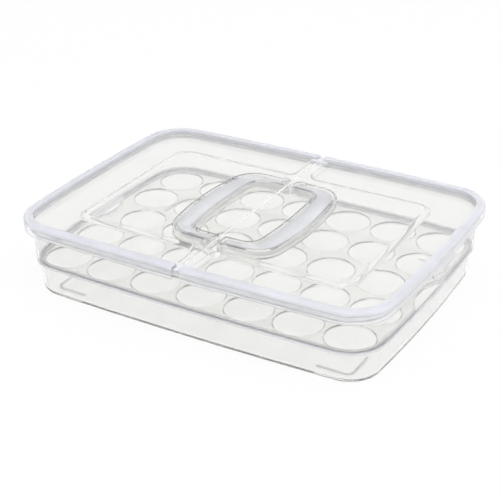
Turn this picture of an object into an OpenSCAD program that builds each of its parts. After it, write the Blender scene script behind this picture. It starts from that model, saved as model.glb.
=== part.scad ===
// Egg keeper with a two-way flip lid: a stepped clear tub, a loose egg tray that rests on
// the tub's ledge, a lid in two halves on a moulded centre hinge, and two carry bails.
// Millimetres. X runs along the length, Y across it, Z up. The origin is under the middle
// of the tub, in the plane of its feet.

/* [Tub] */
// Length of the tub's upper wall, outside, across the middle
tub_l = 334; // [322:0.5:352]
// Width of the tub's upper wall, outside, across the middle
tub_w = 240; // [232:0.5:252]
// Outside corner radius of the upper wall
corner_r = 32; // [28:0.5:36]
// How far each side bulges past the corners
side_bow = 2.4; // [1:0.1:4]
// Wall thickness of the tub
tub_wall = 1.8; // [1.2:0.1:2.6]
// Thickness of the tub's floor
floor_t = 1.8; // [1.2:0.1:3]
// Height of the outside step below the ledge
step_z = 27; // [24:0.5:29]
// How far the step sets the lower wall back
step_in = 3.3; // [2.6:0.1:4.5]
// Height of the step's slope
step_h = 1.5; // [0.8:0.1:3]
// Draft of the lower wall, over its whole height
lower_draft = 1.4; // [0.4:0.1:3]
// Draft of the upper wall, over its whole height
upper_draft = 0.7; // [0.2:0.1:1.4]
// Height of the rim, from the wall's flare to its top
rim_h = 11.5; // [10.5:0.1:13]
// How far the rim flares out
flare_out = 2.8; // [2.2:0.1:4]
// Height of the flare's slope
flare_h = 2.6; // [1.6:0.1:4]
// Top of the tub's rim
rim_top = 69.1; // [66:0.1:74]
// How far the rim's bead stands proud
bead_out = 0.8; // [0.3:0.1:1.2]
// Height of the rim's bead
bead_h = 2.5; // [1.5:0.1:4]
// Radius of the bend from floor to wall
floor_bend = 2.8; // [1.5:0.1:5]

/* [Feet] */
// Height of the corner feet
foot_h = 1.2; // [0.8:0.1:2.5]
// Width of a foot's rib
foot_w = 2.2; // [1.4:0.1:4]
// How far a foot stands in from the upper wall's side
foot_side_in = 19.5; // [18:0.5:28]
// How far a foot stands in from the upper wall's end
foot_end_in = 24; // [22:0.5:30]
// Length of a foot's arms
foot_arm = 31; // [15:1:45]
// Corner radius of a foot
foot_r = 8; // [4:0.5:14]

/* [Tray] */
// Diameter of an egg cell
cell_d = 40; // [34:0.5:40.5]
// Cells in each of the four long rows
cells_long = 7; // [5:2:7]
// Distance from the tub's end to the centre of a long row's last cell
cell_end_in = 32; // [30:0.5:34]
// Distance from the tub's side to the centres of the outer rows
cell_side_in = 31; // [30:0.5:33]
// Distance from the hinge line to the middle row's first cells
mid_first = 27; // [25:0.5:28]
// Distance from the tub's end to the centre of the middle row's last cell
mid_end_in = 48; // [46:0.5:50]
// Thickness of the tray's sheet
tray_t = 1.4; // [1:0.1:2]
// How far the tray's plate hangs below the ledge
tray_drop = 1.1; // [0.4:0.1:3]
// Width of the lip round each cell
lip_w = 1.2; // [0.8:0.1:2]
// How far the cells' lips reach below the plate
lip_h = 0.8; // [0.4:0.1:4]
// How far the cells' lips stand above the plate
lip_up = 0.3; // [0.1:0.1:1]
// Gap between the tray and the tub's walls
tray_gap = 0.6; // [0.3:0.1:1.2]
// Depth of the finger notch in each end of the tray
notch_d = 12.5; // [8:0.5:13]
// Half the width of a finger notch at its mouth
notch_mouth = 36; // [26:1:40]
// Half the width of a finger notch at its bottom
notch_base = 15; // [8:1:18]

/* [Lid] */
// Outside corner radius of the lid's rim
rim_r = 35.6; // [26:0.2:44]
// Thickness of the lid's sheet
lid_t = 1.5; // [1:0.1:2]
// Gap between the lid's skirt and the bead on the tub
skirt_gap = 0.9; // [0.5:0.1:1.5]
// Width of the rim from the skirt's outside to the sunken panel
rim_width = 8; // [7.6:0.1:9.5]
// Height of the skirt
skirt_h = 10.9; // [8:0.1:11]
// Gap between the tub's rim and the lid above it
seat_gap = 0.07; // [0:0.01:0.3]
// Radius of the rim's outer edge
rim_round = 2.5; // [1:0.1:3.5]
// How far the sunken panel lies below the rim's top
panel_drop = 6.1; // [4:0.1:7]
// How high the plateau stands above the panel
plateau_h = 3.5; // [2.2:0.1:4]
// Width of the sunken panel between the rim and a plateau
trough_w = 34.2; // [30:0.2:38]
// Corner radius of a plateau, at its lower edge
plateau_r = 16; // [9:0.5:24]
// How far a plateau's edge slopes in
plateau_slope = 4.4; // [2:0.1:6]
// Half the width of the raised strip along the hinge, at its lower edge
strip_x = 10; // [9:0.1:12]
// Slope of the raised strip's edge
strip_slope = 2; // [1:0.1:2]
// Radius where the strip meets a plateau
strip_r = 7; // [3:0.5:10]
// Half the gap in the rim at the hinge
rim_gap = 3.2; // [2.6:0.1:5]
// How far an end pull tab stands out
tab_out = 0.9; // [0.4:0.1:2]
// How far an end pull tab reaches below the skirt
tab_drop = 1.8; // [0.8:0.1:3]
// How far the pull tabs beside the hinge reach below the skirt
side_tab_drop = 0.8; // [0.4:0.1:2]
// Length of the snap pips inside the skirt
pip_l = 2.6; // [1.5:0.1:5]
// How far the snap pips stand in
pip_in = 0.5; // [0.2:0.1:0.6]

/* [Hinge] */
// Width of the hinge's bending web
web_w = 1.0; // [0.6:0.1:1.2]
// Thickness of the hinge's web
web_t = 0.8; // [0.4:0.1:1]
// Gap between the web and each lid half
web_gap = 0.3; // [0.2:0.05:0.5]

/* [Bails] */
// Half the length of the handle recess, along Y
recess_y = 67.5; // [60:0.5:72]
// Distance from the hinge line to the recess's far side, at its middle
recess_x = 54.5; // [48:0.5:60]
// How far that side bulges past its corners
recess_bow = 3.8; // [2:0.1:6]
// Corner radius of the recess
recess_r = 23; // [20:0.5:26]
// Depth of the recess below the plateau
recess_d = 8.2; // [7.8:0.1:9]
// Distance from the hinge line to the recess's end
recess_end = 4.5; // [4:0.1:5.5]
// Gap between a bail's arms and the recess's end walls
arm_gap = 4; // [2:0.1:5]
// Gap round the outside of a bail's grip
grip_gap = 1.7; // [0.8:0.1:3]
// Width of a bail's grip
grip_w = 16.3; // [12:0.1:18]
// Width of a bail's arms
arm_w = 4.5; // [3.5:0.1:5.5]
// Height of a bail
bail_h = 7.2; // [5:0.1:7.4]
// Gap under a bail
bail_gap = 0.3; // [0.2:0.1:0.8]
// Gap between a bail and the raised island inside it
island_gap = 2.4; // [1:0.1:4]
// Wall left round the hollow under a bail's grip
bail_wall = 1.8; // [1.2:0.1:2.6]
// Radius of the pivot pins
pin_r = 2; // [1.4:0.1:2.4]
// Radial clearance of a pin in its socket
pin_gap = 0.05; // [0.02:0.01:0.1]
// Length of a pin's socket
socket_l = 3.5; // [2.5:0.1:4]
// Wall round a pin's socket
socket_wall = 1.5; // [1:0.1:1.6]

/* [Hidden] */
$fn = 48;

// Chords along one corner arc and along one side, in every rounded outline
ARC_STEPS = 7;
SIDE_STEPS = 8;
RING = 4 * (ARC_STEPS + SIDE_STEPS);
// A little extra, so that cuts pass right through
PAST = 1;
CLEAR_TUB = [0.86, 0.88, 0.91, 0.5];
CLEAR_TRAY = [0.80, 0.83, 0.88, 0.6];
CLEAR_LID = [0.84, 0.87, 0.92, 0.5];
CLEAR_BAIL = [0.62, 0.68, 0.78, 0.7];

// Half sizes of the tub's upper wall, just above the step
hx = tub_l / 2;
hy = tub_w / 2;
// Heights
floor_z = foot_h;
floor_top = floor_z + floor_t;
ledge_z = step_z + step_h + 1;
flare_z = rim_top - rim_h;
lid_top = rim_top + seat_gap + lid_t;
skirt_z = lid_top - skirt_h;
panel_z = lid_top - panel_drop;
plateau_z = panel_z + plateau_h;
recess_z = plateau_z - recess_d;
plate_z = ledge_z - tray_drop;
// Offsets of the tub's surfaces from the upper wall's outline
lower_out = -step_in;
bottom_out = lower_out - lower_draft;
flat_out = bottom_out - floor_bend * 0.7;
rim_out = upper_draft + flare_out;
// The lid's rim: offset of its outer face from the tub's outline, and its half sizes
skirt_out = rim_out + bead_out + skirt_gap + lid_t;
rx = hx + skirt_out;
ry = hy + skirt_out;
// Half sizes of the plateaus, at their lower edge
plateau_x = rx - rim_width - trough_w;
plateau_y = ry - rim_width - trough_w;
// Feet and cells
foot_x = hx - foot_end_in;
foot_y = hy - foot_side_in;
cell_pitch = 2 * (hx - cell_end_in) / (cells_long - 1);
row_pitch = (hy - cell_side_in) / 2;
mid_pitch = (hx - mid_end_in - mid_first) / 2;
// Hinge line, at the middle of the web's thickness
hinge_z = plateau_z - web_t / 2;
// The strip ends inside the rim's inner wall
strip_end = ry - rim_width + lid_t * 0.3;
half_x = web_w / 2 + web_gap;
// Half the width of the hinge's tongues, and of the notches that clear them
tongue_x = rim_gap - 0.3;
rim_notch = rim_gap + 1;
// Bails
bail_z = recess_z + bail_gap;
arm_y = recess_y - arm_gap;
grip_x = recess_x - grip_gap;
bail_r = recess_r - (arm_gap + grip_gap) / 2;
recess_bows = [recess_bow, 0.3];
inner_bows = [recess_bow - 1.4, 0.3];
inner_x = grip_x - grip_w;
inner_y = arm_y - arm_w;
inner_r = bail_r - 5;
island_x = inner_x - island_gap;
island_y = inner_y - island_gap;
island_r = inner_r - 2;
pin_z = bail_z + bail_h / 2;
pin_x = recess_end + bail_h / 2 + 0.5;

// One arc of a ring, from a centre, as points at equal angles without the last one
function arc(c, r, from, to, n) = [for (k = [0:n - 1])
    let (t = from + (to - from) * k / n) [c[0] + r * cos(t), c[1] + r * sin(t)]];

// The radius of a bulging side between corners of radius r that are 2 * c apart
function bulge_r(c, r, bow) = (c * c + bow * bow + 2 * r * bow) / (2 * bow);

// A ring of eight tangent arcs: half sizes a and b, corner radius r, ends and sides bulging
// by the two bows, moved outward by d. It starts in the middle of the back and runs
// anticlockwise.
function outline(a, b, r, bows, d) = let (
        cx = a - r - bows[0], cy = b - r - bows[1],
        end_r = bulge_r(cy, r, bows[0]), side_r = bulge_r(cx, r, bows[1]),
        et = asin(cy / (end_r - r)), st = asin(cx / (side_r - r)),
        back = [0, b - side_r], front = [0, side_r - b],
        left = [end_r - a, 0], right = [a - end_r, 0], half = SIDE_STEPS / 2)
    concat(
        arc(back, side_r + d, 90, 90 + st, half),
        arc([-cx, cy], r + d, 90 + st, 180 - et, ARC_STEPS),
        arc(left, end_r + d, 180 - et, 180 + et, SIDE_STEPS),
        arc([-cx, -cy], r + d, 180 + et, 270 - st, ARC_STEPS),
        arc(front, side_r + d, 270 - st, 270 + st, SIDE_STEPS),
        arc([cx, -cy], r + d, 270 + st, 360 - et, ARC_STEPS),
        arc(right, end_r + d, -et, et, SIDE_STEPS),
        arc([cx, cy], r + d, et, 90 - st, ARC_STEPS),
        arc(back, side_r + d, 90 - st, 90, half));

// The tub's outline moved outward by d, and the lid rim's moved inward by d
function tub_outline(d) = outline(hx, hy, corner_r, [side_bow, side_bow], d);
function rim_outline(d) = outline(rx, ry, rim_r, [side_bow, side_bow], -d);

// The left half of a ring, from the middle of the back to the middle of the front, with
// both ends cut off on their chords at x = -gap
function left_half(ring, gap) = let (n = RING / 2,
        first = ring[0] + (ring[1] - ring[0]) * (gap / -ring[1][0]),
        last = ring[n] + (ring[n - 1] - ring[n]) * (gap / -ring[n - 1][0]))
    concat([first], [for (k = [1:n - 1]) ring[k]], [last]);

function at(points, z) = [for (p = points) [p[0], p[1], z]];

// A solid skinned over rings of equal length, capped at its first and last ring
module skin(rings) {
    n = len(rings[0]);
    last = len(rings) - 1;
    polyhedron([for (r = rings, p = r) p],
        concat([[for (k = [0:n - 1]) k]],
            [for (i = [0:last - 1], k = [0:n - 1]) let (j = (k + 1) % n)
                [i * n + k, (i + 1) * n + k, (i + 1) * n + j, i * n + j]],
            [[for (k = [n - 1:-1:0]) last * n + k]]), convexity = 6);
}

// A bar along open paths of equal length, one path for each corner of its section. With
// split, its sides are made of triangles.
module sweep(paths, split = false) {
    n = len(paths[0]);
    m = len(paths);
    quads = [for (i = [0:m - 1], k = [0:n - 2]) let (u = (i + 1) % m)
        [i * n + k, u * n + k, u * n + k + 1, i * n + k + 1]];
    sides = split
        ? [for (q = quads, t = [0, 1]) t == 0 ? [q[0], q[1], q[2]] : [q[0], q[2], q[3]]]
        : quads;
    polyhedron([for (r = paths, p = r) p],
        concat(sides, [[for (i = [m - 1:-1:0]) i * n]], [[for (i = [0:m - 1]) i * n + n - 1]]),
        convexity = 8);
}

module slab(points, low, high) {
    translate([0, 0, low]) linear_extrude(high - low) polygon(points);
}

// One L-shaped stacking foot, in the quarter where X and Y are positive
module foot() {
    bend = [for (k = [0:6]) [foot_x - foot_r + foot_r * cos(15 * k),
                             foot_y - foot_r + foot_r * sin(15 * k)]];
    inside = [for (k = [6:-1:0]) [foot_x - foot_r + (foot_r - foot_w) * cos(15 * k),
                                  foot_y - foot_r + (foot_r - foot_w) * sin(15 * k)]];
    slab(concat([[foot_x, foot_y - foot_arm]], bend,
            [[foot_x - foot_arm, foot_y], [foot_x - foot_arm, foot_y - foot_w]], inside,
            [[foot_x - foot_w, foot_y - foot_arm]]),
        0, floor_z + floor_t / 2);
}

module base_tub() {
    // Outside from the floor up, over the rim, and down the inside
    profile = [
        [flat_out, floor_z],
        [flat_out + floor_bend * 0.45, floor_z + floor_bend * 0.25],
        [bottom_out, floor_z + floor_bend],
        [lower_out, step_z],
        [0, step_z + step_h],
        [upper_draft, flare_z],
        [rim_out, flare_z + flare_h],
        [rim_out, rim_top - bead_h],
        [rim_out + bead_out, rim_top - bead_h + bead_out],
        [rim_out + bead_out, rim_top - 0.5],
        [rim_out + bead_out - 0.5, rim_top],
        [rim_out - tub_wall + 0.6, rim_top],
        [rim_out - tub_wall, rim_top - 0.6],
        [rim_out - tub_wall, flare_z + flare_h + 0.8],
        [upper_draft - tub_wall, flare_z + 0.8],
        [-tub_wall, ledge_z],
        [lower_out - tub_wall, ledge_z],
        [bottom_out - tub_wall, floor_top + floor_bend],
        [bottom_out - tub_wall - floor_bend * 0.3, floor_top + floor_bend * 0.3],
        [bottom_out - tub_wall - floor_bend, floor_top]];
    color(CLEAR_TUB) {
        difference() {
            skin([for (p = profile) at(tub_outline(p[0]), p[1])]);
            // The rim is notched where the lid's hinge passes over it
            for (side = [-1, 1])
                translate([-rim_notch, side * (hy + rim_out) - 4, hinge_z - 1.5])
                    cube([2 * rim_notch, 8, rim_top]);
        }
        for (mx = [0, 1], my = [0, 1]) mirror([mx, 0, 0]) mirror([0, my, 0]) foot();
    }
}

// Centres of all the egg cells, the four long rows and the middle row
function cells() = concat(
    [for (row = [-2, -1, 1, 2], k = [0:cells_long - 1])
        [(k - (cells_long - 1) / 2) * cell_pitch, row * row_pitch]],
    [for (side = [-1, 1], k = [0:2]) [side * (mid_first + k * mid_pitch), 0]]);

// The finger notch in the tray's right end, grown outward by d
function notch(d) = let (mouth = hx + 10, base = hx - tub_wall - notch_d - d)
    [[mouth, notch_mouth + d * 0.6], [base + notch_d, notch_mouth + d * 0.6],
     [base + 4, notch_base + 3 + d * 0.6], [base + 1, notch_base - 2 + d * 0.6],
     [base, notch_base - 7], [base, 7 - notch_base],
     [base + 1, 2 - notch_base - d * 0.6], [base + 4, -notch_base - 3 - d * 0.6],
     [base + notch_d, -notch_mouth - d * 0.6], [mouth, -notch_mouth - d * 0.6]];

module egg_tray() {
    // Offsets of the tray's edges from the tub's upper wall
    flange = -tub_wall - tray_gap;
    upstand = lower_out - tub_wall - tray_gap;
    low = plate_z - tray_t;
    high = ledge_z + tray_t;
    color(CLEAR_TRAY) difference() {
        union() {
            difference() {
                union() {
                    slab(tub_outline(upstand), low, high);
                    slab(tub_outline(flange), ledge_z, high);
                }
                slab(tub_outline(upstand - tray_t), plate_z, high + PAST);
                for (m = [0, 1]) mirror([m, 0, 0]) slab(notch(0), low - PAST, high + PAST);
            }
            // A low wall follows each notch
            intersection() {
                union() for (m = [0, 1]) mirror([m, 0, 0]) difference() {
                    slab(notch(tray_t), low, high);
                    slab(notch(0), low - PAST, high + PAST);
                }
                slab(tub_outline(upstand), low, high);
            }
            for (c = cells()) translate([c[0], c[1], plate_z - tray_t - lip_h])
                cylinder(h = tray_t + lip_h + lip_up, r = cell_d / 2 + lip_w);
        }
        for (c = cells()) translate([c[0], c[1], plate_z - tray_t - lip_h - PAST])
            cylinder(h = tray_t + lip_h + lip_up + 2 * PAST, d = cell_d);
    }
}

// The edge of the left half's plateau and hinge strip, from the strip's back end to its
// front end, moved in by d, and by e along the strip
function raised(d, e) = let (
        sx = strip_x - e, bend = strip_r + d, cx = strip_x + strip_r, cy = plateau_y + strip_r,
        px = plateau_x - d, py = plateau_y - d, r = plateau_r - d,
        quarter = concat(
            [[-sx, strip_end]],
            [for (k = [0:ARC_STEPS]) let (t = 90 * k / ARC_STEPS)
                [-cx + (cx - sx) * cos(t), cy - bend * sin(t)]],
            [for (k = [0:ARC_STEPS]) let (t = 90 * k / ARC_STEPS)
                [-px + r - r * sin(t), py - r + r * cos(t)]]))
    concat(quarter,
        [for (k = [len(quarter) - 1:-1:0]) [quarter[k][0], -quarter[k][1]]]);

// The handle recess's outline, and the raised island's inside it, with walls thickened by d
function recess_outside(d) = outline(recess_x, recess_y, recess_r, recess_bows, d);
function recess_island(d) = outline(island_x, island_y, island_r, inner_bows, -d);

// The C-shaped recess seen from above, with its walls moved out by d
module recess_shape(d) {
    difference() {
        polygon(recess_outside(d));
        polygon(recess_island(d));
        translate([d - recess_end, -2 * recess_y]) square([4 * recess_x, 4 * recess_y]);
    }
}

// The trough that holds a bail, with the sockets for its pins
module recess() {
    difference() {
        union() {
            translate([0, 0, recess_z - lid_t])
                linear_extrude(plateau_z - recess_z + lid_t) recess_shape(lid_t);
            for (side = [-1, 1]) translate([-pin_x, side * (recess_y + socket_l / 2), pin_z])
                rotate([90, 0, 0])
                    cylinder(h = socket_l, r = pin_r + pin_gap + socket_wall, center = true);
        }
        translate([0, 0, recess_z])
            linear_extrude(plateau_z - recess_z + PAST) recess_shape(0);
        for (side = [-1, 1]) translate([-pin_x, side * (recess_y + socket_l / 2), pin_z])
            rotate([90, 0, 0])
                cylinder(h = socket_l + 2 * PAST, r = pin_r + pin_gap, center = true);
    }
}

// Where the snap pips sit inside the skirt: X, and -1 for the front or 1 for the back
pip_r = 0.7;
PIPS = [[-124.3, -1], [-27.5, -1], [-108, 1], [-8.7, 1]];

// How far the rim's bulging side falls back at a distance x from its middle
function rim_sag(x) = let (r = bulge_r(rx - rim_r - side_bow, rim_r, side_bow))
    r - sqrt(r * r - x * x);

module lid_half() {
    under = panel_z - lid_t;
    wall = lid_t * 0.8;
    // The rim's section, from the foot of the skirt over the top to the sunken panel
    rim = [
        [0, skirt_z], [0, lid_top - rim_round], [rim_round * 0.3, lid_top - rim_round * 0.3],
        [rim_round, lid_top], [rim_width - 0.8, lid_top], [rim_width, lid_top - 0.8],
        [rim_width, under], [rim_width - lid_t, under],
        [rim_width - lid_t, lid_top - lid_t - 0.6],
        [rim_width - lid_t - 0.6, lid_top - lid_t],
        [lid_t + 1, lid_top - lid_t], [lid_t, lid_top - lid_t - 1], [lid_t, skirt_z]];
    // The plateau's edge: inward offset, the same along the strip, and height
    edge = [
        [0, 0, under], [0, 0, panel_z],
        [plateau_slope * 0.85, strip_slope * 0.85, plateau_z - 0.5],
        [plateau_slope, strip_slope, plateau_z],
        [plateau_slope + wall, strip_slope + wall, plateau_z],
        [plateau_slope + wall, strip_slope + wall, plateau_z - lid_t],
        [wall, wall, under]];
    // The end pull tab, the same way as the rim
    tab = [
        [-tab_out, skirt_z - tab_drop], [lid_t * 0.4, skirt_z + 2.6],
        [lid_t * 0.7, skirt_z + 1], [lid_t * 0.8 - tab_out, skirt_z - tab_drop]];
    side_tab = [
        [0.1, skirt_z - side_tab_drop], [0.1, skirt_z + 1], [lid_t - 0.2, skirt_z + 1],
        [lid_t - 0.2, skirt_z - side_tab_drop]];
    tab_first = RING / 4 - 1;
    inner_edge = raised(wall / 2, wall / 2);
    sweep([for (p = rim) at(left_half(rim_outline(p[0]), rim_gap), p[1])]);
    sweep([for (p = tab) at([for (k = [tab_first:tab_first + 2]) rim_outline(p[0])[k]], p[1])]);
    for (end = [0, RING / 2 - 1])
        sweep([for (p = side_tab)
            at([for (k = [end, end + 1]) left_half(rim_outline(p[0]), rim_gap + 0.7)[k]], p[1])]);
    // The sunken panel reaches from the rim's wall to the plateau's edge
    slab(concat(left_half(rim_outline(rim_width - lid_t / 2), strip_x - wall / 2),
            [for (k = [len(inner_edge) - 1:-1:0]) inner_edge[k]]), under, panel_z);
    sweep([for (p = edge) at(raised(p[0], p[1]), p[2])], split = true);
    // The plateau's top, with tongues that run out through the gaps in the rim
    translate([0, 0, plateau_z - lid_t]) linear_extrude(lid_t) difference() {
        polygon(concat(
            [[-half_x, ry - 1], [-tongue_x, ry - 1], [-tongue_x, strip_end]],
            raised(plateau_slope + wall / 2, strip_slope + wall / 2),
            [[-tongue_x, -strip_end], [-tongue_x, 1 - ry], [-half_x, 1 - ry]]));
        recess_shape(lid_t / 2);
    }
    recess();
    for (p = PIPS)
        translate([p[0], p[1] * (ry - lid_t - rim_sag(p[0]) + pip_r - pip_in),
                rim_top - bead_h - pip_r - 1])
            rotate([0, 90, 0]) cylinder(h = pip_l, r = pip_r, center = true);
}

module lid_half_left() {
    color(CLEAR_LID) lid_half();
}

module lid_half_right() {
    color(CLEAR_LID) rotate([0, 0, 180]) lid_half();
}

module hinge_web() {
    color(CLEAR_LID) translate([-web_w / 2, 1 - ry, hinge_z - web_t / 2])
        cube([web_w, 2 * (ry - 1), web_t]);
}

function bail_outside(d) = outline(grip_x, arm_y, bail_r, recess_bows, -d);
function bail_inside(d) = outline(inner_x, inner_y, inner_r, inner_bows, d);

module carry_bail() {
    difference() {
        union() {
            translate([0, 0, bail_z]) linear_extrude(bail_h) difference() {
                polygon(bail_outside(0));
                polygon(bail_inside(0));
                translate([-pin_x, -recess_y]) square([3 * recess_x, 2 * recess_y]);
            }
            for (side = [-1, 1]) translate([-pin_x, side * (arm_y - arm_w / 2), pin_z])
                rotate([90, 0, 0]) cylinder(h = arm_w, r = bail_h / 2, center = true);
            for (side = [-1, 1])
                translate([-pin_x, side * (arm_y - 1), pin_z]) rotate([-90 * side, 0, 0])
                    cylinder(h = 1 + arm_gap + socket_l, r = pin_r);
        }
        // The grip is hollow from below
        translate([0, 0, bail_z - PAST])
            linear_extrude(bail_h - bail_wall + PAST) intersection() {
                difference() {
                    polygon(bail_outside(bail_wall));
                    polygon(bail_inside(bail_wall));
                }
                translate([-2 * recess_x, -inner_y + 6])
                    square([2 * recess_x - pin_x - 10, 2 * inner_y - 12]);
            }
    }
}

module carry_bail_left() {
    color(CLEAR_BAIL) carry_bail();
}

module carry_bail_right() {
    color(CLEAR_BAIL) mirror([1, 0, 0]) carry_bail();
}

base_tub();
egg_tray();
lid_half_left();
lid_half_right();
hinge_web();
carry_bail_left();
carry_bail_right();
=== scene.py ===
"""The looks of a clear egg keeper with a two-way flip lid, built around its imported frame.

Lengths are written in millimetres and become metres where a mesh is made. X runs along the
keeper, Y across it to the back, Z up, and the origin is under its middle.
"""

import math

import bpy
import numpy as np
from mathutils import Matrix, Vector

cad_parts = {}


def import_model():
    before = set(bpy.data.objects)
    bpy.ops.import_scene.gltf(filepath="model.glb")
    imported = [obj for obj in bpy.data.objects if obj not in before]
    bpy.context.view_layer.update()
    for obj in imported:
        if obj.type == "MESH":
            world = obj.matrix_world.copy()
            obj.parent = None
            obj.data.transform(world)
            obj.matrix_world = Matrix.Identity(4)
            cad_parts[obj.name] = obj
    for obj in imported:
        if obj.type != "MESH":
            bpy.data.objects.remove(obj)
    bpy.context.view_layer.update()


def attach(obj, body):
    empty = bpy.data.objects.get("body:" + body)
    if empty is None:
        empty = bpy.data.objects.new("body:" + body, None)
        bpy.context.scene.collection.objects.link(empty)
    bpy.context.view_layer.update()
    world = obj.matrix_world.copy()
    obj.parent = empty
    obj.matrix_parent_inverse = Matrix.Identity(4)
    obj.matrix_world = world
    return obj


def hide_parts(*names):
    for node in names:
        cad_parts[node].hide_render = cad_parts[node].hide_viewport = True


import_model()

MM = 0.001

# Sizes shared with the frame, in millimetres
HALF_L, HALF_W, CORNER_R, BOW = 167.0, 120.0, 32.0, 2.4
TUB_WALL, FLOOR_T, FOOT_H = 1.8, 1.8, 1.2
STEP_Z, STEP_IN, STEP_H = 27.0, 3.3, 1.5
LOWER_DRAFT, UPPER_DRAFT = 1.4, 0.7
RIM_TOP, RIM_H, FLARE_OUT, FLARE_H = 69.1, 11.5, 2.8, 2.6
BEAD_OUT, BEAD_H = 0.8, 2.5
FOOT_W, FOOT_ARM, FOOT_R = 2.2, 31.0, 8.0
FOOT_X, FOOT_Y = 143.0, 100.5
CELL_R, CELL_PITCH, ROW_PITCH = 20.0, 45.0, 44.5
MID_FIRST, MID_PITCH = 27.0, 46.0
TRAY_T, TRAY_DROP, LIP_W, LIP_H, LIP_UP = 1.4, 1.1, 1.2, 0.8, 0.3
TRAY_GAP = 0.6
NOTCH_D, NOTCH_MOUTH, NOTCH_BASE = 12.5, 36.0, 15.0
LID_T, SEAT_GAP, SKIRT_GAP, SKIRT_H = 1.5, 0.07, 0.9, 10.9
RIM_R, RIM_WIDTH, RIM_ROUND = 35.6, 8.0, 2.5
PANEL_DROP, PLATEAU_H, TROUGH_W = 6.1, 3.5, 34.2
PLATEAU_R, PLATEAU_SLOPE = 16.0, 4.4
STRIP_X, STRIP_SLOPE, STRIP_R = 10.0, 2.0, 7.0
RIM_GAP, HALF_X, TONGUE_X = 3.2, 0.8, 2.9
TAB_OUT, TAB_DROP, SIDE_TAB_DROP = 0.9, 1.8, 0.8
WEB_W, WEB_T = 1.0, 0.8
RECESS_X, RECESS_Y, RECESS_R, RECESS_D, RECESS_END = 54.5, 67.5, 23.0, 8.2, 4.5
RECESS_BOWS, INNER_BOWS = (3.8, 0.3), (2.4, 0.3)
ARM_GAP, GRIP_GAP, GRIP_W, ARM_W = 4.0, 1.7, 16.3, 4.5
BAIL_H, BAIL_GAP, ISLAND_GAP, BAIL_WALL = 7.2, 0.3, 2.4, 1.8
PIN_R, PIN_GAP, SOCKET_L, SOCKET_WALL = 2.0, 0.05, 3.5, 1.5
PIP_L, PIP_IN, PIP_R = 2.6, 0.5, 0.7
PIPS = ((-124.3, -1), (-27.5, -1), (-108.0, 1), (-8.7, 1))

# How far the lid is drawn in, so that its skirt stays inside the frame's box
DRAWN_IN = 0.02

# Heights and places worked out from them
FLOOR_Z = FOOT_H
FLOOR_TOP = FLOOR_Z + FLOOR_T
LEDGE_Z = STEP_Z + STEP_H + 1
FLARE_Z = RIM_TOP - RIM_H
LID_TOP = RIM_TOP + SEAT_GAP + LID_T
SKIRT_Z = LID_TOP - SKIRT_H
PANEL_Z = LID_TOP - PANEL_DROP
PLATEAU_Z = PANEL_Z + PLATEAU_H
RECESS_Z = PLATEAU_Z - RECESS_D
PLATE_Z = LEDGE_Z - TRAY_DROP
LOWER_OUT = -STEP_IN
BOTTOM_OUT = LOWER_OUT - LOWER_DRAFT
RIM_OUT = UPPER_DRAFT + FLARE_OUT
SKIRT_OUT = RIM_OUT + BEAD_OUT + SKIRT_GAP + LID_T - DRAWN_IN
RX, RY = HALF_L + SKIRT_OUT, HALF_W + SKIRT_OUT
PLATEAU_X, PLATEAU_Y = RX - RIM_WIDTH - TROUGH_W, RY - RIM_WIDTH - TROUGH_W
STRIP_END = RY - RIM_WIDTH + LID_T * 0.3
HINGE_Z = PLATEAU_Z - WEB_T / 2
BAIL_Z = RECESS_Z + BAIL_GAP
ARM_Y = RECESS_Y - ARM_GAP
GRIP_X = RECESS_X - GRIP_GAP
BAIL_R = RECESS_R - (ARM_GAP + GRIP_GAP) / 2
INNER_X, INNER_Y, INNER_R = GRIP_X - GRIP_W, ARM_Y - ARM_W, BAIL_R - 5
ISLAND_X, ISLAND_Y, ISLAND_R = INNER_X - ISLAND_GAP, INNER_Y - ISLAND_GAP, INNER_R - 2
PIN_Z = BAIL_Z + BAIL_H / 2
PIN_X = RECESS_END + BAIL_H / 2 + 0.5

# Points along an outline's corner and side arcs, and round an egg cell
ARC_N, SIDE_N, CELL_N = 20, 24, 72

# The signs of the two sides, front and back or left and right
SIDES = (-1, 1)

# A margin for cutting blocks, and a place beyond whatever they cut
PAST, FAR = 9.0, 99.0

# A radius too small to see, where a turned solid's end closes
POINT = 0.0001


# Outlines

def bulge_radius(c, r, bow):
    """The radius of a bulging side between corners of radius r that are 2 * c apart."""
    return (c * c + bow * bow + 2 * r * bow) / (2 * bow)


def arc(centre, r, start, end, n):
    """Points on an arc from start to end, in radians, without the last one."""
    t = start + (end - start) * np.arange(n) / n
    return np.stack([centre[0] + r * np.cos(t), centre[1] + r * np.sin(t)], 1)


def ring(a, b, r, bows, d):
    """Eight tangent arcs, anticlockwise from the middle of the back, moved outward by d."""
    cx, cy = a - r - bows[0], b - r - bows[1]
    end_r, side_r = bulge_radius(cy, r, bows[0]), bulge_radius(cx, r, bows[1])
    et, st = math.asin(cy / (end_r - r)), math.asin(cx / (side_r - r))
    q, h = math.pi / 2, math.pi
    half = SIDE_N // 2
    back, front, left, right = (0, b - side_r), (0, side_r - b), (end_r - a, 0), (a - end_r, 0)
    return np.concatenate([
        arc(back, side_r + d, q, q + st, half),
        arc((-cx, cy), r + d, q + st, h - et, ARC_N),
        arc(left, end_r + d, h - et, h + et, SIDE_N),
        arc((-cx, -cy), r + d, h + et, 3 * q - st, ARC_N),
        arc(front, side_r + d, 3 * q - st, 3 * q + st, SIDE_N),
        arc((cx, -cy), r + d, 3 * q + st, 4 * q - et, ARC_N),
        arc(right, end_r + d, -et, et, SIDE_N),
        arc((cx, cy), r + d, et, q - st, ARC_N),
        arc(back, side_r + d, q - st, q, half),
    ])


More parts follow.
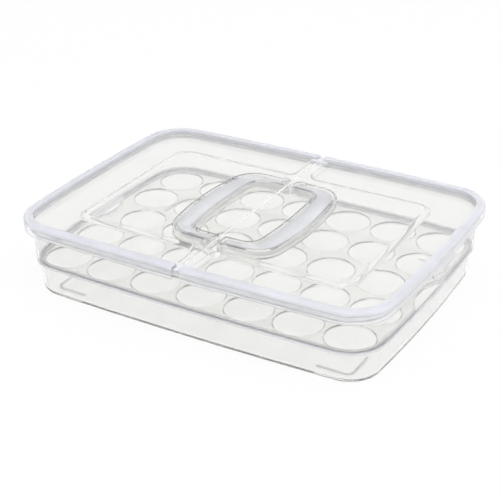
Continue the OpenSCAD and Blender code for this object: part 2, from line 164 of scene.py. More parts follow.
def half_ring(a, b, r, bows, d, gap):
    """The same ring's left half as an open path from the back to the front, cut at x = -gap."""
    cx, cy = a - r - bows[0], b - r - bows[1]
    end_r, side_r = bulge_radius(cy, r, bows[0]), bulge_radius(cx, r, bows[1])
    et, st = math.asin(cy / (end_r - r)), math.asin(cx / (side_r - r))
    q, h = math.pi / 2, math.pi
    first = math.asin(gap / (side_r + d))
    half = SIDE_N // 2
    path = np.concatenate([
        arc((0, b - side_r), side_r + d, q + first, q + st, half),
        arc((-cx, cy), r + d, q + st, h - et, ARC_N),
        arc((end_r - a, 0), end_r + d, h - et, h, half),
    ])
    middle = np.array([[-a - d, 0.0]])
    return np.concatenate([path, middle, path[::-1] * [1, -1]])


def tub_ring(d):
    """The tub's outline, moved outward by d."""
    return ring(HALF_L, HALF_W, CORNER_R, (BOW, BOW), d)


def rim_ring(d):
    """The lid rim's outline, moved inward by d."""
    return ring(RX, RY, RIM_R, (BOW, BOW), -d)


def raised_ring(d, e):
    """The closed edge of both plateaus and the strip between them, moved in by d and e."""
    sx, bend = STRIP_X - e, STRIP_R + d
    cx, cy = STRIP_X + STRIP_R, PLATEAU_Y + STRIP_R
    px, py, r = PLATEAU_X - d, PLATEAU_Y - d, PLATEAU_R - d
    t = np.linspace(0, math.pi / 2, ARC_N + 1)
    inner = np.stack([-cx + (cx - sx) * np.cos(t), cy - bend * np.sin(t)], 1)
    outer = np.stack([-px + r - r * np.sin(t), py - r + r * np.cos(t)], 1)
    quarter = np.concatenate([[[-sx, STRIP_END]], inner, outer])
    left = np.concatenate([quarter, quarter[::-1] * [1, -1]])
    return np.concatenate([left, -left])


def c_loop(outside, island, gap):
    """A closed C from the left half of one outline and back along the left half of another."""
    return np.concatenate([half_ring(*outside, gap), half_ring(*island, gap)[::-1]])


def recess_loop(d):
    """The handle recess's outline with its walls moved out by d."""
    return c_loop((RECESS_X, RECESS_Y, RECESS_R, RECESS_BOWS, d),
                  (ISLAND_X, ISLAND_Y, ISLAND_R, INNER_BOWS, -d), RECESS_END - d)


def bail_loop(d, gap):
    """A bail's outline moved in by d, ending at x = -gap."""
    return c_loop((GRIP_X, ARM_Y, BAIL_R, RECESS_BOWS, -d),
                  (INNER_X, INNER_Y, INNER_R, INNER_BOWS, d), gap)


def rounded(points, closed=False, step=0.35):
    """A profile's points (x, z, radius) with each corner replaced by an arc of its radius."""
    out = []
    n = len(points)
    for i, (x, z, r) in enumerate(points):
        if r == 0 or (not closed and i in (0, n - 1)):
            out.append((x, z))
            continue
        p = np.array([x, z])
        a, b = (np.array(points[(i + k) % n][:2]) - p for k in (-1, 1))
        la, lb = np.linalg.norm(a), np.linalg.norm(b)
        a, b = a / la, b / lb
        angle = math.acos(max(-1, min(1, float(a @ b))))
        if angle > math.pi - 0.02:
            out.append((x, z))
            continue
        reach = min(r / math.tan(angle / 2), 0.48 * la, 0.48 * lb)
        r = reach * math.tan(angle / 2)
        centre = p + (a + b) / np.linalg.norm(a + b) * r / math.sin(angle / 2)
        start, end = p + a * reach - centre, p + b * reach - centre
        sweep = math.pi - angle
        turn = 1 if start[0] * end[1] - start[1] * end[0] > 0 else -1
        k = max(2, int(math.ceil(sweep / step)))
        for j in range(k + 1):
            t = turn * sweep * j / k
            out.append(tuple(centre + [start[0] * math.cos(t) - start[1] * math.sin(t),
                                       start[0] * math.sin(t) + start[1] * math.cos(t)]))
    return out


# Meshes

def mesh_object(name, verts, faces):
    """An object from points in millimetres."""
    mesh = bpy.data.meshes.new(name)
    mesh.from_pydata([Vector(v) * MM for v in verts], [], faces)
    mesh.validate()
    obj = bpy.data.objects.new(name, mesh)
    bpy.context.scene.collection.objects.link(obj)
    return obj


def loft(name, rings, hoop=False):
    """A solid over rings [(points, z)], anticlockwise and going up outside, down inside."""
    n, m = len(rings[0][0]), len(rings)
    verts = [(x, y, z) for points, z in rings for x, y in points]
    faces = [(i * n + k, i * n + (k + 1) % n, (i + 1) % m * n + (k + 1) % n, (i + 1) % m * n + k)
             for i in range(m if hoop else m - 1) for k in range(n)]
    if not hoop:
        faces.append(tuple(range(n - 1, -1, -1)))
        faces.append(tuple((m - 1) * n + k for k in range(n)))
    return mesh_object(name, verts, faces)


def block(name, low, high):
    """A box between its lowest and its highest corner."""
    verts = [(x, y, z) for z in (low[2], high[2]) for x, y in
             ((low[0], low[1]), (high[0], low[1]), (high[0], high[1]), (low[0], high[1]))]
    faces = [(3, 2, 1, 0), (4, 5, 6, 7)] + [(k, (k + 1) % 4, (k + 1) % 4 + 4, k + 4) for k in range(4)]
    return mesh_object(name, verts, faces)


def end_block(name, side, half_x, near, far, low, high):
    """A box across the middle of the keeper, at the front (side -1) or the back (side 1)."""
    y0, y1 = sorted((side * near, side * far))
    return block(name, (-half_x, y0, low), (half_x, y1, high))


def turned(name, profile, centre, axis, n=40):
    """A solid of revolution from (radius, height) pairs, standing on centre along an axis."""
    t = np.arange(n) * 2 * math.pi / n
    rings = [(np.stack([r * np.cos(t), r * np.sin(t)], 1), h) for r, h in profile]
    obj = loft(name, rings)
    spin = Vector((0, 0, 1)).rotation_difference(Vector(axis)).to_matrix().to_4x4()
    obj.data.transform(Matrix.Translation(Vector(centre) * MM) @ spin)
    return obj


def boolean(base, tools, operation):
    """base united with, cut by or kept inside the tools, which are used up."""
    for tool in tools:
        modifier = base.modifiers.new("cut", "BOOLEAN")
        modifier.operation = operation
        modifier.solver = "MANIFOLD"
        modifier.object = tool
    done = base.evaluated_get(bpy.context.evaluated_depsgraph_get())
    mesh = bpy.data.meshes.new_from_object(done)
    base.modifiers.clear()
    base.data = mesh
    for tool in tools:
        bpy.data.objects.remove(tool)
    return base


def prism(name, points, low, high):
    """An upright block over one outline."""
    return loft(name, [(points, low), (points, high)])


def sweep(name, paths):
    """A bar along open paths [(points, z)] of equal length, one for each corner of its section."""
    n, m = len(paths[0][0]), len(paths)
    verts = [(x, y, z) for points, z in paths for x, y in points]
    faces = [(i * n + k, i * n + k + 1, (i + 1) % m * n + k + 1, (i + 1) % m * n + k)
             for i in range(m) for k in range(n - 1)]
    faces.append(tuple(i * n for i in range(m)))
    faces.append(tuple(i * n + n - 1 for i in range(m - 1, -1, -1)))
    return mesh_object(name, verts, faces)


def copied(obj, name, matrix):
    """A second object with a moved copy of a mesh; a mirroring matrix keeps faces outward."""
    other = bpy.data.objects.new(name, obj.data.copy())
    bpy.context.scene.collection.objects.link(other)
    other.data.transform(matrix)
    if matrix.determinant() < 0:
        other.data.flip_normals()
    return other


def smooth(obj, angle=40):
    """Smooth shading with flat faces kept flat, and edges sharper than the angle kept."""
    obj.data.shade_smooth()
    obj.data.set_sharp_from_angle(angle=math.radians(angle))
    even = obj.modifiers.new("even", "WEIGHTED_NORMAL")
    even.keep_sharp = True
    done = obj.evaluated_get(bpy.context.evaluated_depsgraph_get())
    mesh = bpy.data.meshes.new_from_object(done)
    obj.modifiers.clear()
    obj.data = mesh
    return obj


# The tub

def foot(mx, my):
    """One L-shaped stacking rib with softened lower edges."""
    def loop(e):
        outer, inner = FOOT_R - e, FOOT_R - FOOT_W + e
        c = (FOOT_X - FOOT_R, FOOT_Y - FOOT_R)
        q = math.pi / 2
        start, end = FOOT_Y - FOOT_ARM + e, FOOT_X - FOOT_ARM + e
        bend = arc(c, outer, 0, q, 10).tolist() + [[c[0], c[1] + outer]]
        back = [[c[0], c[1] + inner]] + arc(c, inner, q, 0, 10)[1:].tolist() + [[c[0] + inner, c[1]]]
        return np.array([[c[0] + outer, start]] + bend + [[end, c[1] + outer], [end, c[1] + inner]]
                        + back + [[c[0] + inner, start]])
    into_floor = FLOOR_Z + FLOOR_T / 2
    solid = loft("foot", [(loop(0.6), 0), (loop(0.2), 0.2), (loop(0), 0.6), (loop(0), into_floor)])
    placed = copied(solid, "foot_placed", Matrix.Diagonal((mx, my, 1, 1)))
    bpy.data.objects.remove(solid)
    return placed


def tub():
    """The stepped tub: outside from the floor up, over the rim, and down the inside."""
    wall = TUB_WALL
    floor_in = 6
    profile = rounded([
        (BOTTOM_OUT - floor_in, FLOOR_Z, 0),
        (BOTTOM_OUT, FLOOR_Z, 3.6),
        (LOWER_OUT, STEP_Z, 0.6),
        (0, STEP_Z + STEP_H, 0.9),
        (UPPER_DRAFT, FLARE_Z, 2.2),
        (RIM_OUT, FLARE_Z + FLARE_H, 1.6),
        (RIM_OUT, RIM_TOP - BEAD_H, 0.3),
        (RIM_OUT + BEAD_OUT, RIM_TOP - BEAD_H + BEAD_OUT, 0.5),
        (RIM_OUT + BEAD_OUT, RIM_TOP, 0.7),
        (RIM_OUT - wall, RIM_TOP, 0.5),
        (RIM_OUT - wall, FLARE_Z + FLARE_H + 0.8, 2.0),
        (UPPER_DRAFT - wall, FLARE_Z + 0.8, 1.8),
        (-wall, LEDGE_Z, 0.8),
        (LOWER_OUT - wall, LEDGE_Z, 0.7),
        (BOTTOM_OUT - wall, FLOOR_TOP, 3.0),
        (BOTTOM_OUT - wall - floor_in, FLOOR_TOP, 0),
    ])
    obj = loft("tub", [(tub_ring(d), z) for d, z in profile])
    # The rim is notched where the lid's hinge passes over it
    rim_y = HALF_W + RIM_OUT
    boolean(obj, [end_block("notch", s, RIM_GAP + 1, rim_y - 4, rim_y + 4, HINGE_Z - 1.5, LID_TOP + PAST)
                  for s in SIDES], "DIFFERENCE")
    boolean(obj, [foot(mx, my) for mx in SIDES for my in SIDES], "UNION")
    return smooth(obj)


# The tray

def cells():
    """Centres of the egg cells: four rows of seven, and six in the middle row."""
    long_rows = [((k - 3) * CELL_PITCH, row * ROW_PITCH) for row in (-2, -1, 1, 2) for k in range(7)]
    return long_rows + [(s * (MID_FIRST + k * MID_PITCH), 0.0) for s in SIDES for k in range(3)]


def notch_points(d):
    """The finger notch in the tray's right end, grown outward by d."""
    base = HALF_L - TUB_WALL - NOTCH_D - d
    mouth = NOTCH_MOUTH + d * 0.6
    upper = rounded([(HALF_L + 10, mouth, 0), (base + NOTCH_D, mouth, 3),
                     (base + 4, NOTCH_BASE + 3 + d * 0.6, 9), (base, NOTCH_BASE - 7, 10)])
    return np.array(upper + [(x, -y) for x, y in upper[::-1]])


def tray():
    """The egg tray: a sheet with an upstand and a flange on the tub's ledge."""
    flange, upstand = -TUB_WALL - TRAY_GAP, LOWER_OUT - TUB_WALL - TRAY_GAP
    low, high, t = PLATE_Z - TRAY_T, LEDGE_Z + TRAY_T, TRAY_T
    sheet_in = 5
    obj = loft("tray", [(tub_ring(d), z) for d, z in rounded([
        (upstand - sheet_in, low, 0), (upstand, low, 1.2), (upstand, LEDGE_Z, 0.4),
        (flange, LEDGE_Z, 0.4), (flange, high, 0.5), (upstand - t, high, 0.8),
        (upstand - t, PLATE_Z, 0.8), (upstand - t - sheet_in, PLATE_Z, 0)])])
    # A low wall follows each finger notch, its top a hair under the flange's
    ends = [Matrix.Identity(4), Matrix.Diagonal((-1, 1, 1, 1))]
    wall_top = high - 0.02
    inside = prism("inside", tub_ring(upstand), low, wall_top)
    for m in ends:
        wall = prism("wall", notch_points(t), low, wall_top)
        placed = copied(wall, "wall_placed", m)
        bpy.data.objects.remove(wall)
        kept = boolean(placed, [copied(inside, "kept", Matrix.Identity(4))], "INTERSECT")
        boolean(obj, [kept], "UNION")
    bpy.data.objects.remove(inside)
    for m in ends:
        cut = prism("cut", notch_points(0), low - 5, high + 5)
        boolean(obj, [copied(cut, "cut_placed", m)], "DIFFERENCE")
        bpy.data.objects.remove(cut)
    bottom, top, bevel = low - LIP_H, PLATE_Z + LIP_UP, 0.5
    lip = rounded([(CELL_R - 3, bottom, 0), (CELL_R + LIP_W, bottom, 0.4), (CELL_R + LIP_W, top, 0.5),
                   (CELL_R - 3, top, 0)])
    hole = rounded([(CELL_R + bevel, bottom - 2, 0), (CELL_R + bevel, bottom - 0.1, 0),
                    (CELL_R, bottom + bevel, 0.5), (CELL_R, top - bevel, 0.5),
                    (CELL_R + bevel, top + 0.1, 0), (CELL_R + bevel, top + 2, 0)])
    boolean(obj, [turned("lip", lip, (x, y, 0), (0, 0, 1), CELL_N) for x, y in cells()], "UNION")
    boolean(obj, [turned("hole", hole, (x, y, 0), (0, 0, 1), CELL_N) for x, y in cells()], "DIFFERENCE")
    return smooth(obj)


# The lid

def raised(name, wall, top, bottom):
    """The plateaus and the strip between them as one block, with its walls moved in."""
    k = STRIP_SLOPE / PLATEAU_SLOPE
    foot_d = 1.5
    if wall == 0:
        points = [(-foot_d, bottom, 0), (-foot_d, PANEL_Z, 0), (0, PANEL_Z, 3.0),
                  (PLATEAU_SLOPE, top, 1.4), (PLATEAU_SLOPE + 3, top, 0)]
    else:
        points = [(wall, bottom, 0), (wall, PANEL_Z - LID_T, 0), (PLATEAU_SLOPE + wall, top, 1.0),
                  (PLATEAU_SLOPE + wall + 2, top, 0)]
    return loft(name, [(raised_ring(d, wall + (d - wall) * k), z) for d, z in rounded(points)])


def recess_solid(name, wall, low, high, foot_r, lip_r):
    """The C-shaped trough, as a block to add or to cut, with a flared lip if lip_r isn't 0."""
    points = [(wall - foot_r - 0.01, low, 0), (wall, low, foot_r), (wall, high, lip_r)]
    if lip_r:
        points.append((wall + lip_r + 0.01, high, 0))
    return loft(name, [(recess_loop(d), z) for d, z in rounded(points)])


def lid_sheet():
    """The whole lid's sheet: sunken panel, plateaus and hinge strip, open underneath."""
    under, wall = PANEL_Z - LID_T, LID_T * 0.8
    gap_y = STRIP_END + LID_T * 0.7
    below = under - 5
    sheet = prism("panel", rim_ring(RIM_WIDTH - LID_T / 2), under, PANEL_Z)
    boolean(sheet, [raised("block_up", 0, PLATEAU_Z, under + 0.1)], "UNION")
    hollow = raised("hollow", wall, PLATEAU_Z - LID_T, below)
    middle = block("middle", (-RIM_GAP, -gap_y - PAST, below), (RIM_GAP, gap_y + PAST, PLATEAU_Z - LID_T))
    return boolean(sheet, [hollow, middle], "DIFFERENCE")


def recess_parts(obj):
    """Adds the handle's trough with its pin sockets to a lid."""
    socket_r, bore_r = PIN_R + PIN_GAP + SOCKET_WALL, PIN_R + PIN_GAP
    places = [((-PIN_X, s * RECESS_Y, PIN_Z), (0, s, 0)) for s in SIDES]
    trough = recess_solid("trough", LID_T, RECESS_Z - LID_T, PLATEAU_Z - 0.3, 2.4, 0)
    sockets = [turned("socket", [(socket_r, 0), (socket_r, SOCKET_L)], *place) for place in places]
    boolean(obj, [trough] + sockets, "UNION")
    boolean(obj, [recess_solid("space", 0, RECESS_Z, PLATEAU_Z + 0.005, 1.2, 0.7)], "DIFFERENCE")
    bores = [turned("pin_hole", [(bore_r, -1), (bore_r, SOCKET_L + 1)], *place) for place in places]
    boolean(obj, bores, "DIFFERENCE")


def skirt_parts():
    """The end pull tab, the side tabs by the hinge and the snap pips of the left half."""
    t, side_tab_points = LID_T, 4
    tab = rounded([(-TAB_OUT, SKIRT_Z - TAB_DROP, 0.3), (-TAB_OUT * 0.6, SKIRT_Z + 0.6, 1.5),
                   (t * 0.5, SKIRT_Z + 3.0, 0), (t * 0.9, SKIRT_Z + 1.0, 0),
                   (t * 0.9 - TAB_OUT, SKIRT_Z - TAB_DROP, 0.3)], closed=True)
    reach, middle = SIDE_N // 8, SIDE_N + ARC_N
    parts = [sweep("tab", [(rim_ring(d)[middle - reach:middle + reach + 1], z) for d, z in tab])]
    side = rounded([(0.1, SKIRT_Z - SIDE_TAB_DROP, 0.4), (0.1, SKIRT_Z + 1, 0), (t - 0.1, SKIRT_Z + 1, 0),
                    (t - 0.1, SKIRT_Z - SIDE_TAB_DROP, 0.4)], closed=True)
    paths = [(half_ring(RX, RY, RIM_R, (BOW, BOW), -d, RIM_GAP + 0.7), z) for d, z in side]
    parts.append(sweep("side_tab", [(path[-side_tab_points:], z) for path, z in paths]))
    parts.append(sweep("side_tab", [(path[:side_tab_points], z) for path, z in paths]))
    pip = rounded([(POINT, 0, 0), (PIP_R, 0, 0.25), (PIP_R, PIP_L, 0.25), (POINT, PIP_L, 0)])
    side_r = bulge_radius(RX - RIM_R - BOW, RIM_R, BOW)
    for x, s in PIPS:
        y = RY - t - (side_r - math.sqrt(side_r ** 2 - x ** 2)) + PIP_R - PIP_IN
        place = (x - PIP_L / 2, s * y, RIM_TOP - BEAD_H - PIP_R - 1)
        parts.append(turned("pip", pip, place, (1, 0, 0), 20))
    return parts


def lid_half():
    """The left half of the lid, cut from a whole one."""
    under, t = PANEL_Z - LID_T, LID_T
    rim = rounded([
        (0, SKIRT_Z, 0.45), (0, LID_TOP, RIM_ROUND), (RIM_WIDTH, LID_TOP, 1.0),
        (RIM_WIDTH, PANEL_Z, 1.2), (RIM_WIDTH + 2, PANEL_Z, 0), (RIM_WIDTH + 2, under, 0),
        (RIM_WIDTH - t, under, 0.5), (RIM_WIDTH - t, LID_TOP - t, 0.5),
        (t, LID_TOP - t, 1.0), (t, SKIRT_Z, 0.45)], closed=True)
    obj = loft("lid", [(rim_ring(d), z) for d, z in rim], hoop=True)
    boolean(obj, [end_block("gap", s, RIM_GAP, RY - RIM_WIDTH - 4, RY + PAST, 0, FAR) for s in SIDES],
            "DIFFERENCE")
    boolean(obj, [lid_sheet()], "UNION")
    boolean(obj, [end_block("tongue", s, TONGUE_X, STRIP_END - 2, RY - 1, PLATEAU_Z - t, PLATEAU_Z)
                  for s in SIDES], "UNION")
    recess_parts(obj)
    boolean(obj, skirt_parts(), "UNION")
    boolean(obj, [block("half", (-RX - 20, -RY - 20, 0), (-HALF_X, RY + 20, FAR))], "INTERSECT")
    return smooth(obj)


def hinge_web():
    """The bending web: a thin strip with a groove along its top."""
    h, w = WEB_T / 2, WEB_W / 2 + 0.25
    section = rounded([(-w, -h, 0.1), (w, -h, 0.1), (w, h, 0.1), (0.25, h * 0.2, 0.3),
                       (-0.25, h * 0.2, 0.3), (-w, h, 0.1)], closed=True)
    y0, y1 = 1 - RY, RY - 1
    n = len(section)
    verts = [(x, y, HINGE_Z + z) for y in (y0, y1) for x, z in section]
    faces = [(k, (k + 1) % n, (k + 1) % n + n, k + n) for k in range(n)]
    faces += [tuple(range(n - 1, -1, -1)), tuple(range(n, 2 * n))]
    return smooth(mesh_object("hinge", verts, faces))


def bail():
    """The left carry bail: a C with pivot eyes and pins, hollow underneath."""
    top, low, w = BAIL_Z + BAIL_H, BAIL_Z, BAIL_WALL
    body = loft("bail", [(bail_loop(d, PIN_X + d), z) for d, z in rounded([
        (2.0, low, 0), (0, low, 0.7), (0, top, 1.3), (2.0, top, 0)])])
    r, pin_l = BAIL_H / 2, 1 + ARM_GAP + SOCKET_L
    eye = rounded([(POINT, 0, 0), (r, 0, 0.4), (r, ARM_W, 0.4), (POINT, ARM_W, 0)])
    pin = rounded([(POINT, 0, 0), (PIN_R, 0, 0), (PIN_R, pin_l, 0.4), (POINT, pin_l, 0)])
    eyes = [turned("eye", eye, (-PIN_X, s * (ARM_Y - ARM_W), PIN_Z), (0, s, 0)) for s in SIDES]
    pins = [turned("pin", pin, (-PIN_X, s * (ARM_Y - 1), PIN_Z), (0, s, 0)) for s in SIDES]
    boolean(body, eyes + pins, "UNION")
    hollow = loft("hollow", [(bail_loop(d, PIN_X + 12), z) for d, z in rounded([
        (w, low - 2, 0), (w, top - w, 0.8), (w + 0.4, top - w, 0)])])
    keep = block("keep", (-FAR, 6 - INNER_Y, low - 5), (-PIN_X, INNER_Y - 6, top))
    boolean(hollow, [keep], "INTERSECT")
    boolean(body, [hollow], "DIFFERENCE")
    return smooth(body)


# Materials

# How clear and how milky plastic differ: share of light let through, roughness and colour
CLEAR_SHARE, MILK_SHARE = 0.92, 0.0
CLEAR_ROUGH, MILK_ROUGH = 0.03, 0.45
CLEAR_TINT, MILK_TINT = (0.988, 0.988, 0.975, 1), (0.91, 0.91, 0.94, 1)
PLASTIC_IOR = 1.28

# Flow marks in the plastic, and the faint waviness of its skin
FLOW_SCALE, FLOW_DETAIL, FLOW_LOW, FLOW_HIGH = 34, 4, 0.93, 1.05
SKIN_SCALE, SKIN_DETAIL, SKIN_STRENGTH = 70, 2, 0.04

# Milkiness by height, as (low, high, amount) in millimetres: feet, ledge and rim of the tub,
# flange and sheet of the tray
TUB_BANDS = ((-9, 0.5, 0.6), (STEP_Z - 1, LEDGE_Z + 2, 0.35), (RIM_TOP - 9, FAR, 0.25))
TRAY_BANDS = ((LEDGE_Z - 0.2, FAR, 0.45), (0, PLATE_Z + 0.1, 0.10))
BAND_EDGE = 0.6
SKIRT_MILK, RIM_MILK, BAIL_MILK = 0.25, 0.50, 0.34


def math_node(nodes, links, operation, first, second):
    """One Math node; each input is a socket or a number."""
    node = nodes.new("ShaderNodeMath")
    node.operation = operation
    for slot, value in zip(node.inputs, (first, second)):
        if isinstance(value, (int, float)):
            slot.default_value = value
        else:
            links.new(value, slot)
    return node.outputs["Value"]


def vector_node(nodes, links, operation, first, second=None):
    """One Vector Math node on a socket, and on a fixed vector if it takes two."""
    node = nodes.new("ShaderNodeVectorMath")
    node.operation = operation
    links.new(first, node.inputs[0])
    if second is not None:
        node.inputs[1].default_value = second
    return node.outputs["Value" if operation == "LENGTH" else "Vector"]


def noise(nodes, links, place, scale, detail):
    node = nodes.new("ShaderNodeTexNoise")
    node.inputs["Scale"].default_value = scale
    node.inputs["Detail"].default_value = detail
    links.new(place, node.inputs["Vector"])
    return node.outputs["Fac"]


def height(nodes, links, place):
    split = nodes.new("ShaderNodeSeparateXYZ")
    links.new(place, split.inputs["Vector"])
    return split.outputs["Z"]


def ramp(nodes, links, value, start, end, low=0.0, high=1.0):
    """A value taken smoothly from low to high as it runs from start to end."""
    node = nodes.new("ShaderNodeMapRange")
    node.interpolation_type = "SMOOTHSTEP"
    node.inputs["From Min"].default_value = start
    node.inputs["From Max"].default_value = end
    node.inputs["To Min"].default_value = low
    node.inputs["To Max"].default_value = high
    links.new(value, node.inputs["Value"])
    return node.outputs["Result"]


def height_bands(nodes, links, place, bands):
    """How milky the plastic is at each height: the strongest of some bands."""
    z = height(nodes, links, place)
    total = None
    for low, high, amount in bands:
        up = ramp(nodes, links, z, (low - BAND_EDGE) * MM, (low + BAND_EDGE) * MM, 0, amount)
        down = ramp(nodes, links, z, (high - BAND_EDGE) * MM, (high + BAND_EDGE) * MM, amount, 0)
        band = math_node(nodes, links, "MINIMUM", up, down)
        total = band if total is None else math_node(nodes, links, "MAXIMUM", total, band)
    return total


def outside_rim(nodes, links, place):
    """How far a point lies outside the lid's rounded outline, in metres; negative inside."""
    flat = vector_node(nodes, links, "MULTIPLY", place, (1, 1, 0))
    size = vector_node(nodes, links, "ABSOLUTE", flat)
    core = vector_node(nodes, links, "SUBTRACT", size, ((RX - RIM_R) * MM, (RY - RIM_R) * MM, 0))
    beyond = vector_node(nodes, links, "MAXIMUM", core, (0, 0, 0))
    reach = vector_node(nodes, links, "LENGTH", beyond)
    return math_node(nodes, links, "SUBTRACT", reach, RIM_R * MM)


def lid_milk(nodes, links, place):
    """The lid's milkiness: its skirt, and more over the top of its rim."""
    out = outside_rim(nodes, links, place)
    skirt = ramp(nodes, links, out, -5.0 * MM, -3.5 * MM, 0, SKIRT_MILK)
    near = ramp(nodes, links, out, -14 * MM, -12 * MM)
    start, end = (PANEL_Z + 0.6) * MM, (LID_TOP - 2.5) * MM
    top = ramp(nodes, links, height(nodes, links, place), start, end, 0, RIM_MILK)
    return math_node(nodes, links, "MAXIMUM", skirt, math_node(nodes, links, "MULTIPLY", near, top))


def tub_milk(nodes, links, place):
    return height_bands(nodes, links, place, TUB_BANDS)


def tray_milk(nodes, links, place):
    return height_bands(nodes, links, place, TRAY_BANDS)


def plastic(name, milk):
    """Clear moulded plastic, milky and faintly blue by an amount or by a function of the place."""
    mat = bpy.data.materials.new(name)
    mat.use_nodes = True
    nodes, links = mat.node_tree.nodes, mat.node_tree.links
    shader = nodes["Principled BSDF"]
    shader.inputs["IOR"].default_value = PLASTIC_IOR
    place = nodes.new("ShaderNodeTexCoord").outputs["Object"]
    flow = noise(nodes, links, place, FLOW_SCALE, FLOW_DETAIL)
    mottle = ramp(nodes, links, flow, 0.3, 0.7, FLOW_LOW, FLOW_HIGH)
    amount = milk(nodes, links, place) if callable(milk) else milk
    share = math_node(nodes, links, "MULTIPLY", mottle, amount)
    through = ramp(nodes, links, share, 0, 1, CLEAR_SHARE, MILK_SHARE)
    links.new(through, shader.inputs["Transmission Weight"])
    rough = ramp(nodes, links, share, 0, 1, CLEAR_ROUGH, MILK_ROUGH)
    links.new(math_node(nodes, links, "MULTIPLY", rough, mottle), shader.inputs["Roughness"])
    colour = nodes.new("ShaderNodeMix")
    colour.data_type = "RGBA"
    colour.inputs["A"].default_value = CLEAR_TINT
    colour.inputs["B"].default_value = MILK_TINT
    links.new(ramp(nodes, links, share, 0, 0.5), colour.inputs["Factor"])
    links.new(colour.outputs["Result"], shader.inputs["Base Color"])
    bump = nodes.new("ShaderNodeBump")
    bump.inputs["Strength"].default_value = SKIN_STRENGTH
    bump.inputs["Distance"].default_value = 1 * MM
    links.new(noise(nodes, links, place, SKIN_SCALE, SKIN_DETAIL), bump.inputs["Height"])
    links.new(bump.outputs["Normal"], shader.inputs["Normal"])
    return mat


def install(obj, name, node, body, mat):
    """Names a finished piece, gives it its plastic and its body, and hides the frame's part it stands in
    for.
    """
    obj.name = name
    obj.data.name = name
    obj.data.materials.clear()
    obj.data.materials.append(mat)
    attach(obj, body)
    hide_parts(node)


# Surroundings

LIGHT_COLOUR, LIGHT_STRENGTH = (0.93, 0.945, 1, 1), 0.95
FLOOR_SIZE, FLOOR_DROP = 12, 0.0002
FLOOR_COLOUR, FLOOR_WHITE = (0.9, 0.9, 0.9, 1), 0.93
KEY_PLACE, KEY_AIM, KEY_SIZE, KEY_POWER = (0.6, -0.5, 1.4), (0, 0, 0.05), 0.8, 9
BOUNCES, DIFFUSE_BOUNCES = 64, 16


def sees_white(nodes, links):
    """1 for camera, glossy and transmission rays, which see the white surroundings."""
    path = nodes.new("ShaderNodeLightPath")
    total = path.outputs["Is Camera Ray"]
    for kind in ("Is Glossy Ray", "Is Transmission Ray"):
        total = math_node(nodes, links, "MAXIMUM", total, path.outputs[kind])
    return total


def world():
    """Plain soft light, with white for every ray that looks straight, off or through a surface."""
    scene_world = bpy.data.worlds.new("studio")
    bpy.context.scene.world = scene_world
    scene_world.use_nodes = True
    nodes, links = scene_world.node_tree.nodes, scene_world.node_tree.links
    light = nodes["Background"]
    light.inputs["Color"].default_value = LIGHT_COLOUR
    light.inputs["Strength"].default_value = LIGHT_STRENGTH
    white = nodes.new("ShaderNodeBackground")
    white.inputs["Strength"].default_value = 1
    white.inputs["Color"].default_value = (1, 1, 1, 1)
    mix = nodes.new("ShaderNodeMixShader")
    links.new(sees_white(nodes, links), mix.inputs["Fac"])
    links.new(light.outputs["Background"], mix.inputs[1])
    links.new(white.outputs["Background"], mix.inputs[2])
    links.new(mix.outputs["Shader"], nodes["World Output"].inputs["Surface"])


def floor():
    """A plain white floor that keeps a faint shadow."""
    bpy.ops.mesh.primitive_plane_add(size=FLOOR_SIZE, location=(0, 0, -FLOOR_DROP))
    obj = bpy.context.object
    obj.name = "floor"
    mat = bpy.data.materials.new("floor_white")
    mat.use_nodes = True
    nodes, links = mat.node_tree.nodes, mat.node_tree.links
    nodes.remove(nodes["Principled BSDF"])
    matt = nodes.new("ShaderNodeBsdfDiffuse")
    matt.inputs["Color"].default_value = FLOOR_COLOUR
    glow = nodes.new("ShaderNodeEmission")
    glow.inputs["Strength"].default_value = 1
    mix = nodes.new("ShaderNodeMixShader")
    share = math_node(nodes, links, "MULTIPLY", sees_white(nodes, links), FLOOR_WHITE)
    links.new(share, mix.inputs["Fac"])
    links.new(matt.outputs["BSDF"], mix.inputs[1])
    links.new(glow.outputs["Emission"], mix.inputs[2])
    links.new(mix.outputs["Shader"], nodes["Material Output"].inputs["Surface"])
    obj.data.materials.append(mat)


def lamp(name, place, aim, size, power):
    """A soft square lamp that faces a point."""
    data = bpy.data.lights.new(name, "AREA")
    data.size = size
    data.energy = power
    obj = bpy.data.objects.new(name, data)
    bpy.context.scene.collection.objects.link(obj)
    obj.location = place
    obj.rotation_euler = (Vector(aim) - Vector(place)).to_track_quat("-Z", "Y").to_euler()


# The photograph's view: azimuth and elevation of the eye, roll, distance and aim point
AZIMUTH, ELEVATION, ROLL = math.radians(30.528), math.radians(27.710), math.radians(-0.566)
DISTANCE, AIM = 1200.0, (-54.567, 81.956, -23.113)
FOCAL_PX, IMAGE_PX, SENSOR = 1249.436, 500, 36.0


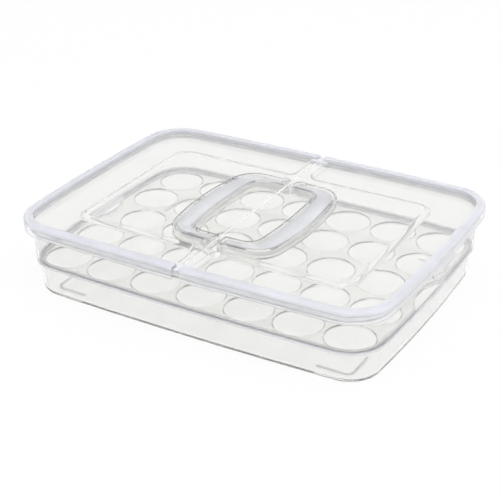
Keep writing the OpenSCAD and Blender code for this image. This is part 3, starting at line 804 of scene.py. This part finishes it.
def camera():
    """The camera at the photograph's place."""
    back = Vector((math.sin(AZIMUTH) * math.cos(ELEVATION), -math.cos(AZIMUTH) * math.cos(ELEVATION),
                   math.sin(ELEVATION)))
    right = (-back).cross(Vector((0, 0, 1))).normalized()
    up = right.cross(-back)
    across = right * math.cos(ROLL) + up * math.sin(ROLL)
    upward = -right * math.sin(ROLL) + up * math.cos(ROLL)
    data = bpy.data.cameras.new("camera")
    data.sensor_width = SENSOR
    data.lens = FOCAL_PX / IMAGE_PX * SENSOR
    data.clip_end = 50  # metres
    obj = bpy.data.objects.new("camera", data)
    bpy.context.scene.collection.objects.link(obj)
    turn = Matrix((across, upward, back)).transposed().to_4x4()
    obj.matrix_world = Matrix.Translation((Vector(AIM) + back * DISTANCE) * MM) @ turn
    bpy.context.scene.camera = obj


bpy.context.scene.view_settings.view_transform = "Standard"
cycles = bpy.context.scene.cycles
cycles.max_bounces = BOUNCES
cycles.transmission_bounces = BOUNCES
cycles.glossy_bounces = BOUNCES
cycles.diffuse_bounces = DIFFUSE_BOUNCES

camera()
world()
floor()
lamp("key", KEY_PLACE, KEY_AIM, KEY_SIZE, KEY_POWER)

tub_mat = plastic("clear_tub", tub_milk)
tray_mat = plastic("clear_tray", tray_milk)
lid_mat = plastic("clear_lid", lid_milk)
bail_mat = plastic("clear_bail", BAIL_MILK)

install(tub(), "tub_shell", "base_tub", "tub", tub_mat)
install(tray(), "tray_sheet", "egg_tray", "tray", tray_mat)

# The right lid half and the right bail are the left ones turned half round
half_turn = Matrix.Rotation(math.pi, 4, "Z")
left = lid_half()
right = copied(left, "right", half_turn)
install(left, "lid_left_sheet", "lid_half_left", "lid_left", lid_mat)
install(right, "lid_right_sheet", "lid_half_right", "lid_right", lid_mat)
install(hinge_web(), "hinge_strip", "hinge_web", "spine", lid_mat)
left_bail = bail()
right_bail = copied(left_bail, "right_bail", half_turn)
install(left_bail, "bail_left_grip", "carry_bail_left", "bail_left", bail_mat)
install(right_bail, "bail_right_grip", "carry_bail_right", "bail_right", bail_mat)
